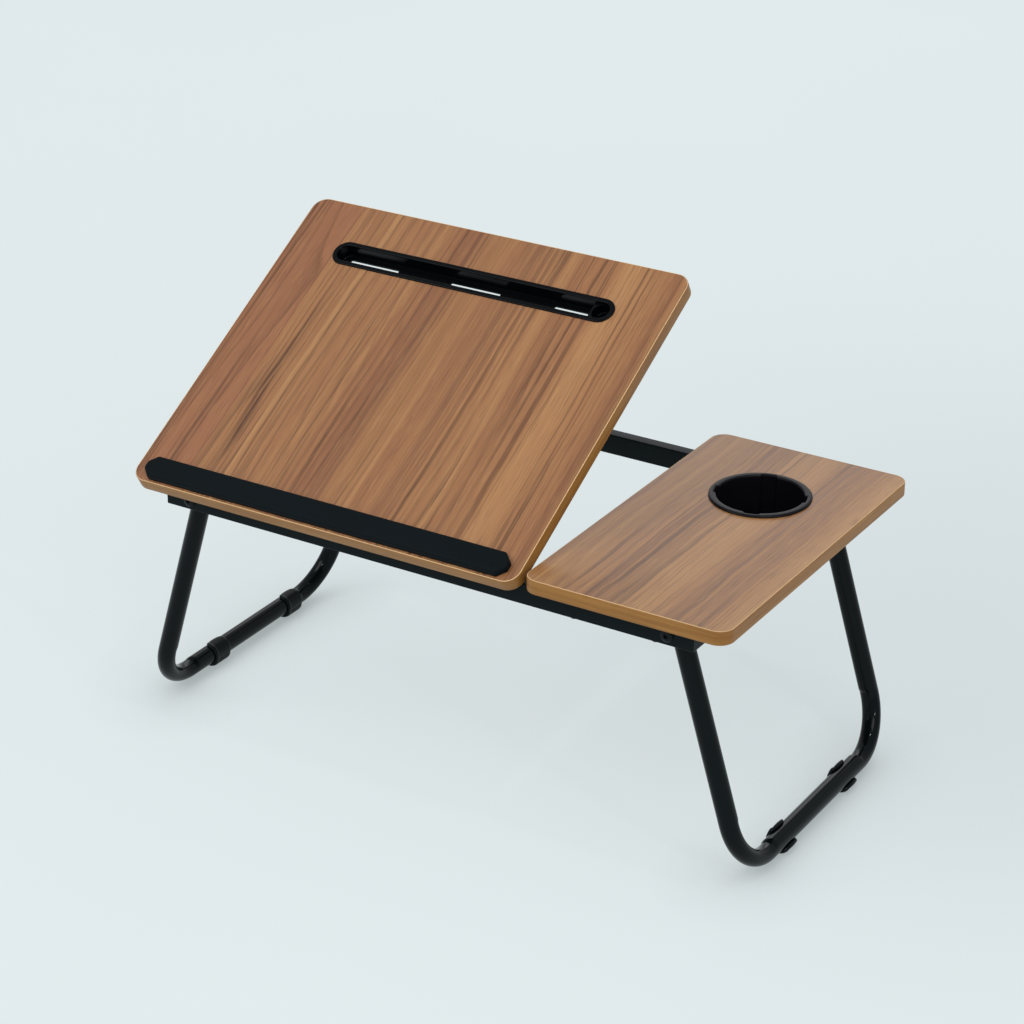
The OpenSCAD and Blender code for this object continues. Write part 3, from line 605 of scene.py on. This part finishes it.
# ---------------------------------------------------------------- cup holder
def cup_holder():
    notch = (16, 106, 196, 286)
    half = math.degrees(math.asin(6.5 / 37.0))
    r_in, r_no = CUP_R, CUP_R + 2.0
    z1 = TOP_R + 2.0
    zb = z1 - 50.0
    angles = []
    for i in range(288):
        angles.append(i * 1.25)
    for a in notch:
        for s in (-1, 1):
            for d in (-1.6, -1.2, -0.8, -0.4, 0, 0.4, 0.8, 1.2, 1.6):
                angles.append((a + s * half + s * d) % 360)
    angles = sorted(set(round(a, 3) for a in angles))
    def in_notch(a, extra=0.0):
        best = 0.0
        for c in notch:
            d = abs((a - c + 180) % 360 - 180)
            best = max(best, smooth01((half + extra + 1.3 - d) / 2.6))
        return best
    def ring(fr, z):
        return [(CUP_X + fr(a) * math.cos(rad(a)), CUP_Y + fr(a) * math.sin(rad(a)), z) for a in angles]
    def wall(off=0.0):
        return lambda a: r_in + (r_no - r_in) * in_notch(a) + off
    g = Geo()
    loops = []
    # outside, from the floor's edge up to the rim
    body = lambda a: r_in + 1.8 + 3.0 * in_notch(a, 3.4)
    plain = lambda a: r_in + 1.8
    loops.append(ring(lambda a: r_in + 0.6, zb))
    loops.append(ring(lambda a: r_in + 1.45, zb + 0.35))
    loops.append(ring(plain, zb + 1.2))
    loops.append(ring(plain, zb + 6))
    loops.append(ring(body, zb + 6.6))
    loops.append(ring(body, TOP_R))
    loops.append(ring(lambda a: 41.8, TOP_R))
    loops.append(ring(lambda a: 42.0, TOP_R + 0.25))
    for t in (15, 30, 45, 60, 75, 90):
        loops.append(ring(lambda a, t=t: 40.1 + 1.9 * math.cos(rad(t)), TOP_R + 0.25 + 1.75 * math.sin(rad(t))))
    loops.append(ring(wall(1.5), z1))
    for t in (20, 40, 60, 80):
        loops.append(ring(wall(1.5 * (1 - math.sin(rad(t)))), z1 - 1.5 * (1 - math.cos(rad(t)))))
    loops.append(ring(wall(0.0), z1 - 2.0))
    loops.append(ring(wall(0.0), zb + 8.4))
    loops.append(ring(lambda a: r_in - 0.02, zb + 8.0))
    loops.append(ring(lambda a: r_in - 0.05, zb + 3.2))
    loops.append(ring(lambda a: r_in - 0.4, zb + 2.35))
    loops.append(ring(lambda a: r_in - 1.3, zb + 2.0))
    loops.append(ring(lambda a: 5.0, zb + 2.0))
    loops.append(ring(lambda a: 5.0, zb))
    ids = g.loft(loops)
    g.strip(ids[-1], ids[0])
    ob = scene_mesh("cup_holder_body", g.v, g.f, M["cup"], "frame", PLACE, sharp=40)
    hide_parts("cup_holder")


cup_holder()


# ---------------------------------------------------------------- frame tubes
def tube_section(w, h, r, wall, n=5):
    """Outer and inner outlines of a rectangular tube, (t, z) with t from the outer face."""
    return rrect(0, 0, w, h, r, n), rrect(wall, wall, w - wall, h - wall, max(0.3, r - wall * 0.4), n)


def mitred_rail(name, node, length, origin, direction, inward):
    """Tube along direction, mitred at both ends; inward is the side of its inner face."""
    outer, inner = tube_section(RAIL_W, RAIL_H, 1.1, RAIL_WALL)
    g = Geo()
    d, n_in = Vector(direction), Vector(inward)
    def ring(prof, sign, k=0.0):
        return [tuple(Vector(origin) + d * (sign * (length / 2 - t - k)) + n_in * t + Vector((0, 0, z))) for t, z in prof]
    o0, o1 = g.loop(ring(outer, -1)), g.loop(ring(outer, 1))
    i0, i1 = g.loop(ring(inner, -1)), g.loop(ring(inner, 1))
    g.strip(o0, o1)
    g.strip(i0, i1)
    g.strip(o0, i0)
    g.strip(o1, i1)
    ob = scene_mesh(name, g.v, g.f, M["frame"], "frame", PLACE, sharp=28)
    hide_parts(node)


mitred_rail("rail_front", "front_rail", 2 * FX, (0, FY0, RAIL_Z0), (1, 0, 0), (0, 1, 0))
mitred_rail("rail_rear", "rear_rail", 2 * FX, (0, FY1, RAIL_Z0), (1, 0, 0), (0, -1, 0))
mitred_rail("rail_left", "left_side_rail", FY1 - FY0, (-FX, (FY0 + FY1) / 2, RAIL_Z0), (0, 1, 0), (1, 0, 0))
mitred_rail("rail_right", "right_side_rail", FY1 - FY0, (FX, (FY0 + FY1) / 2, RAIL_Z0), (0, 1, 0), (-1, 0, 0))


def cross_bar():
    outer, inner = tube_section(RAIL_W, RAIL_H, 1.1, RAIL_WALL)
    g = Geo()
    y0, y1 = FY0 + RAIL_W, FY1 - RAIL_W
    ox = X0R + 2
    rings = [[g.loop([(ox + t, y, RAIL_Z0 + z) for t, z in p]) for y in (y0, y1)] for p in (outer, inner)]
    g.strip(*rings[0])
    g.strip(*rings[1])
    g.strip(rings[0][0], rings[1][0])
    g.strip(rings[0][1], rings[1][1])
    ob = scene_mesh("rail_cross", g.v, g.f, M["frame"], "frame", PLACE, sharp=28)
    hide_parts("cross_bar")


cross_bar()


# ---------------------------------------------------------------- legs
def leg_stations():
    """Points along the leg's centre line with the inward direction and how far into a bend they are."""
    out = []
    straight = LEG_H - BEND_R
    steps = [0, 20, 60, 100, straight - 16, straight - 9, straight - 6, straight - 4, straight - 2.5, straight - 1.5, straight - 0.5]
    for s in steps:
        out.append(((LY0, -s), (1.0, 0.0), s - straight))
    n = 26
    for i in range(n + 1):
        a = 90.0 * i / n
        y = LY0 + BEND_R - BEND_R * math.cos(rad(a))
        z = -straight - BEND_R * math.sin(rad(a))
        out.append(((y, z), (math.cos(rad(a)), math.sin(rad(a))), rad(a) * BEND_R))
    run0, run1 = LY0 + BEND_R, LY1 - BEND_R
    total = rad(90) * BEND_R
    for d in (0.8, 2, 3.5, 6, 12, 30):
        out.append(((run0 + d, -LEG_H), (0.0, 1.0), total + d))
    mid = (run0 + run1) / 2
    out.append(((mid, -LEG_H), (0.0, 1.0), 1e3))
    back = []
    for (y, z), (ny, nz), s in out[:-1]:
        back.append(((LY0 + LY1 - y, z), (-ny, nz), s))
    return out + list(reversed(back))


def squeeze(s):
    """How far the tube's inner side is pressed in by the bending form at distance s past the bend's start."""
    total = rad(90) * BEND_R
    a = smooth01((s + 3.6) / 2.6)
    b = smooth01((total + 3.6 - s) / 2.6)
    return a * b


def leg(name, node, side, body):
    g = Geo()
    n = 40
    st = leg_stations()
    def rings(r, flat):
        loops = []
        for k, ((y, z), (ny, nz), s) in enumerate(st):
            pts = []
            q = squeeze(s)
            for i in range(n):
                a = 2 * math.pi * i / n
                c, w = math.cos(a), math.sin(a)
                rr = r - flat * q * max(0.0, c) ** 1.5
                yy, zz = y + ny * rr * c, z + nz * rr * c
                xx = rr * w
                if k in (0, len(st) - 1):
                    zz = math.sqrt(max(0.0, 8.1 ** 2 - xx * xx)) - (0.0 if r > 7.5 else 0.3)
                pts.append((side * xx, yy, zz))
            loops.append(pts)
        return loops
    outer = g.loft(rings(TUBE_R, 1.5))
    inner = g.loft(rings(TUBE_R - TUBE_WALL, 1.5))
    g.strip(outer[0], inner[0])
    g.strip(outer[-1], inner[-1])
    m = Matrix.Translation((side * PX * MM, -Y_MID * MM, PZ * MM)) @ Matrix.Rotation(rad(-side * SPLAY), 4, "Y")
    ob = scene_mesh(name, g.v, g.f, M["leg"], body, m, sharp=50)
    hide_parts(node)


leg("leg_tube_l", "left_leg", -1, "left_leg")
leg("leg_tube_r", "right_leg", 1, "right_leg")


# ---------------------------------------------------------------- foot clips
def foot_clip(name, node, x, y, a_open, body, wing):
    """Rubber saddle clipped over the tube: a thin sleeve, thick under the tube, with a rim at its front end and flared lips."""
    g = Geo()
    half = CLIP_LEN / 2 - 1.5
    marks = (-1, -0.985, -0.94, -0.86, -0.76, -0.70, -0.64, -0.55, -0.42, -0.28, -0.14, 0, 0.14, 0.28, 0.42, 0.55, 0.68, 0.78, 0.87, 0.94, 0.985, 1)
    k = 40
    loops = []
    for t in marks:
        s = t * half
        e = math.sqrt(max(0.0, 1 - abs(t) ** 10))
        rim = 0.75 * smooth01((-t - 0.62) / 0.12)
        reach = 108 - 20 * abs(t) ** 3
        lip = wing * max(0.0, math.cos(t * math.pi / 2)) ** 0.6
        r0 = CLIP_R
        prof = []
        for j in range(k + 1):
            b = -reach + 2 * reach * j / k
            under = smooth01((math.cos(rad(a_open + 180 + b + 90)) - 0.30) / 0.55)
            thick = 1.25 + (CLIP_T - 1.25) * under + rim * (1 - under)
            f = smooth01((abs(b) - (reach - 30)) / 26)
            prof.append((r0 + thick * (0.45 + 0.55 * e) + lip * f * (1 - 0.85 * under), b))
        ends = (prof[0][0], prof[-1][0])

        def lip_end(sign, r1):
            rm, hw = (r0 + r1) / 2, (r1 - r0) / 2
            return [(rm + hw * math.cos(rad(q)), sign * (reach + math.degrees(hw * 0.7 * math.sin(rad(q)) / rm))) for q in (30, 60, 90, 120, 150)]
        prof += lip_end(1, ends[1])
        for j in range(k + 1):
            prof.append((r0, reach - 2 * reach * j / k))
        prof += list(reversed(lip_end(-1, ends[0])))
        loop = []
        for rr, b in prof:
            ang = rad(a_open + 180 + b)
            loop.append((x + rr * math.cos(ang), y + s, max(0.0, RUN_Z + rr * math.sin(ang))))
        loops.append(loop)
    ids = g.loft(loops)
    for end in (ids[0], ids[-1]):
        outer = end[:k + 1]
        inner = list(reversed(end[k + 6:2 * k + 7]))
        g.strip(outer, inner, closed=False)
        g.face([outer[-1]] + end[k + 1:k + 6] + [inner[-1]])
        g.face([inner[0]] + end[2 * k + 7:] + [outer[0]])
    ob = scene_mesh(name, g.v, g.f, M["foot"], body, PLACE, sharp=42)
    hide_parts(node)


foot_clip("foot_lf", "left_front_foot_clip", -RUN_X, CLIP_YS[0] + 11, 182, "left_leg", 0.6)
foot_clip("foot_lr", "left_rear_foot_clip", -RUN_X, CLIP_YS[1] + 11, 182, "left_leg", 0.6)
foot_clip("foot_rf", "right_front_foot_clip", RUN_X, CLIP_YS[0], 42, "right_leg", 2.1)
foot_clip("foot_rr", "right_rear_foot_clip", RUN_X, CLIP_YS[1], 42, "right_leg", 2.1)


# ---------------------------------------------------------------- bolts and screws
def turned(g, prof, n=40, recess=None):
    """Solid of revolution about z from (r, z) points, lowest first; recess = (outline, depth, top_z) cut into its lower face."""
    loops = [at_z(circle(0, 0, r, n), z) for r, z in prof]
    ids = g.loft(loops)
    if recess:
        outline, z_face, depth = recess
        rim = g.loop(at_z(outline, z_face))
        low = g.loop(at_z([(x * 0.82, y * 0.82) for x, y in outline], z_face + depth))
        g.fill(ids[0], rim)
        g.strip(rim, low)
        g.fill(low)
    else:
        g.fill(ids[0])
    g.fill(ids[-1])


def hexagon(r):
    return circle(0, 0, r, 6, 30)


def cross_outline(r, w):
    return [(r, -w), (r, w), (w, w), (w, r), (-w, r), (-w, w), (-r, w), (-r, -w), (-w, -w), (-w, -r), (w, -r), (w, -w)]


def bolts():
    g = Geo()
    for s in (-1, 1):
        for y, sign in ((FY0, 1), (FY1, -1)):
            b = Geo()
            grip = RAIL_W + 0.5 + 16 + 0.5
            prof = [(2.6, -2.2), (3.6, -2.1), (4.6, -1.75), (5.2, -1.25), (5.5, -0.6), (5.5, -0.15), (5.35, 0.0), (3.0, 0.0), (3.0, grip + 1 + 5.5 + 1.1), (2.6, grip + 8.0)]
            turned(b, prof, 40, (hexagon(2.0), -2.2, 1.4))
            m = Matrix.Translation((s * PX, y, PZ)) @ Matrix.Rotation(rad(-90 * sign), 4, "X")
            g.merge(b, m)
    ob = scene_mesh("pivot_bolts", g.v, g.f, M["steel"], "frame", PLACE, sharp=30)
    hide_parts("leg_pivot_bolts")


bolts()


def screw_geo(r_head, t_head, r, h):
    b = Geo()
    prof = [(r_head * 0.62, -t_head), (r_head * 0.86, -t_head * 0.84), (r_head * 0.97, -t_head * 0.5), (r_head, -0.15 * t_head), (r_head * 0.98, 0), (r, 0), (r, h - 1.2), (r * 0.4, h)]
    turned(b, prof, 28, (cross_outline(r_head * 0.48, r_head * 0.12), -t_head, t_head * 0.7))
    return b


def board_screws():
    g = Geo()
    xs = (X0R + 38, X1R - 68)
    spots = [(x, y) for x in xs for y in (FY0 + RAIL_W / 2, FY1 - RAIL_W / 2)] + [(X0R + 8, 90), (X0R + 8, 230)]
    for x, y in spots:
        g.merge(screw_geo(3.8, 1.8, 1.75, RAIL_H + 8), Matrix.Translation((x, y, RAIL_Z0)))
    ob = scene_mesh("side_board_screws", g.v, g.f, M["steel"], "frame", PLACE, sharp=30)
    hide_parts("right_board_screws")


board_screws()


def bracket_screws():
    g = Geo()
    for s in (-1, 1):
        for dy in (-6, 6):
            g.merge(screw_geo(2.8, 1.4, 1.5, 9.5), Matrix.Translation((XCL + s * 67, HY + 130 + dy, UNDER - 1.5)))
    ob = scene_mesh("bracket_screws", g.v, g.f, M["zinc"], "tilt_board", TILTED, sharp=30)
    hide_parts("prop_bracket_screws")


bracket_screws()

finish_node(["left_rack_bar", "right_rack_bar"], M["frame"])
finish_node(["leg_pivot_washers", "leg_pivot_nuts", "left_hinge_frame_leaf", "right_hinge_frame_leaf", "left_hinge_board_leaf",
             "right_hinge_board_leaf", "hinge_pins", "hinge_frame_rivets", "hinge_board_screws"], M["zinc"])
finish_node(["prop_wire", "left_prop_bracket", "right_prop_bracket"], M["steel"])


# ---------------------------------------------------------------- floor, light, camera
def floor():
    me = bpy.data.meshes.new("floor")
    g = Geo()
    r = 5.0
    pts = [(-r, -r), (r, -r), (r, r), (-r, r)]
    me.from_pydata([(x, y, 0) for x, y in pts], [], [(0, 1, 2, 3)])
    ob = bpy.data.objects.new("floor", me)
    bpy.context.scene.collection.objects.link(ob)
    m = Nodes("floor_paper")
    p = m.coords()
    n = m.noise(m.scaled(p, 1.2, 1.2, 1), 1, 2.0)
    m.set(color=m.mix(n, rgb(117, 121, 122), rgb(120, 124, 125)), rough=0.9, spec=0.03)
    # lit paper: most of its brightness is its own, so shadows on it stay faint
    m.put(m.bsdf.inputs["Emission Color"], m.mix(n, rgb(223, 233, 235), rgb(227, 237, 238)))
    # painted light and shadow: the floor's glow rises by up to 5.5% towards the back and dips by up to 8.5% in a soft
    # patch to the right, a painted shadow
    sep = m.new("ShaderNodeSeparateXYZ")
    m.link(p, sep.inputs[0])
    u = m.math("ADD", m.math("MULTIPLY", sep.outputs[0], 0.85), m.math("MULTIPLY", sep.outputs[1], 0.52))
    v = m.math("SUBTRACT", m.math("MULTIPLY", sep.outputs[1], 0.85), m.math("MULTIPLY", sep.outputs[0], 0.52))
    painted_far_light = m.span(v, 0.3, 1.7, 0.0, 0.055)
    side = m.math("MULTIPLY", m.span(u, 0.0, 0.45), m.span(m.math("ABSOLUTE", m.math("SUBTRACT", v, 0.15)), 0.1, 0.9, 1.0, 0.0))
    painted_light_and_shadow = m.math("SUBTRACT", m.math("ADD", painted_far_light, 1.0), m.math("MULTIPLY", side, 0.085))
    # painted contact shadow: the glow is dimmed to as low as 60% where ambient occlusion finds parts close to the floor
    ao = m.new("ShaderNodeAmbientOcclusion", samples=8)
    ao.inputs["Distance"].default_value = 0.07
    painted_contact_shadow = m.span(ao.outputs["AO"], 0.45, 1.0, 0.60, 1.0, "LINEAR")
    m.put(m.bsdf.inputs["Emission Strength"], m.math("MULTIPLY", m.math("MULTIPLY", painted_light_and_shadow, painted_contact_shadow), 0.735))
    me.materials.append(m.mat)


floor()

world = bpy.data.worlds.new("studio")
bpy.context.scene.world = world
world.use_nodes = True
bg = world.node_tree.nodes["Background"]
bg.inputs["Color"].default_value = (0.965, 0.985, 1.0, 1)
bg.inputs["Strength"].default_value = 0.62


def area(name, loc, target, size, power, color=(1, 1, 1)):
    l = bpy.data.lights.new(name, "AREA")
    l.shape = "RECTANGLE"
    l.size, l.size_y = size
    l.energy = power
    l.color = color
    ob = bpy.data.objects.new(name, l)
    bpy.context.scene.collection.objects.link(ob)
    ob.location = loc
    d = Vector(target) - Vector(loc)
    ob.rotation_euler = d.to_track_quat("-Z", "Y").to_euler()
    return ob


area("soft_key", (-1.5, -1.7, 2.1), (0, 0, 0.1), (1.5, 1.5), 24, (1.0, 0.985, 0.96))
area("soft_fill", (1.5, -1.3, 2.4), (0, 0, 0.1), (1.3, 1.3), 16, (1.0, 0.99, 0.97))
area("soft_back", (-1.2, 2.4, 1.3), (0.1, 0, 0.2), (1.8, 1.0), 7, (0.97, 0.99, 1.0))
area("spark_right", (2.0, -0.9, 1.1), (0.28, 0, 0.1), (0.07, 0.20), 5.0)
area("spark_top", (0.5, -0.3, 2.2), (0.1, 0, 0.1), (0.09, 0.09), 4.0)
area("spark_left", (-0.2, -2.0, 1.5), (-0.2, 0, 0.1), (0.10, 0.14), 4.5)

cam_data = bpy.data.cameras.new("camera")
cam = bpy.data.objects.new("camera", cam_data)
bpy.context.scene.collection.objects.link(cam)
az, el, roll = rad(31.6563), rad(25.6099), rad(0.0771)
fwd = Vector((-math.sin(az) * math.cos(el), math.cos(az) * math.cos(el), -math.sin(el)))
right = Vector((math.cos(az), math.sin(az), 0))
up = right.cross(fwd)
cx = right * math.cos(roll) + up * math.sin(roll)
cy = up * math.cos(roll) - right * math.sin(roll)
rot = Matrix((cx, cy, -fwd)).transposed().to_4x4()
cam.matrix_world = Matrix.Translation((1.123544, -1.827221, 1.228354)) @ rot
cam_data.sensor_fit = "HORIZONTAL"
cam_data.sensor_width = 36
cam_data.lens = 2888.8 / 1024 * 36
cam_data.clip_end = 50
bpy.context.scene.camera = cam
bpy.context.scene.view_settings.view_transform = "Standard"
bpy.context.scene.view_settings.look = "None"
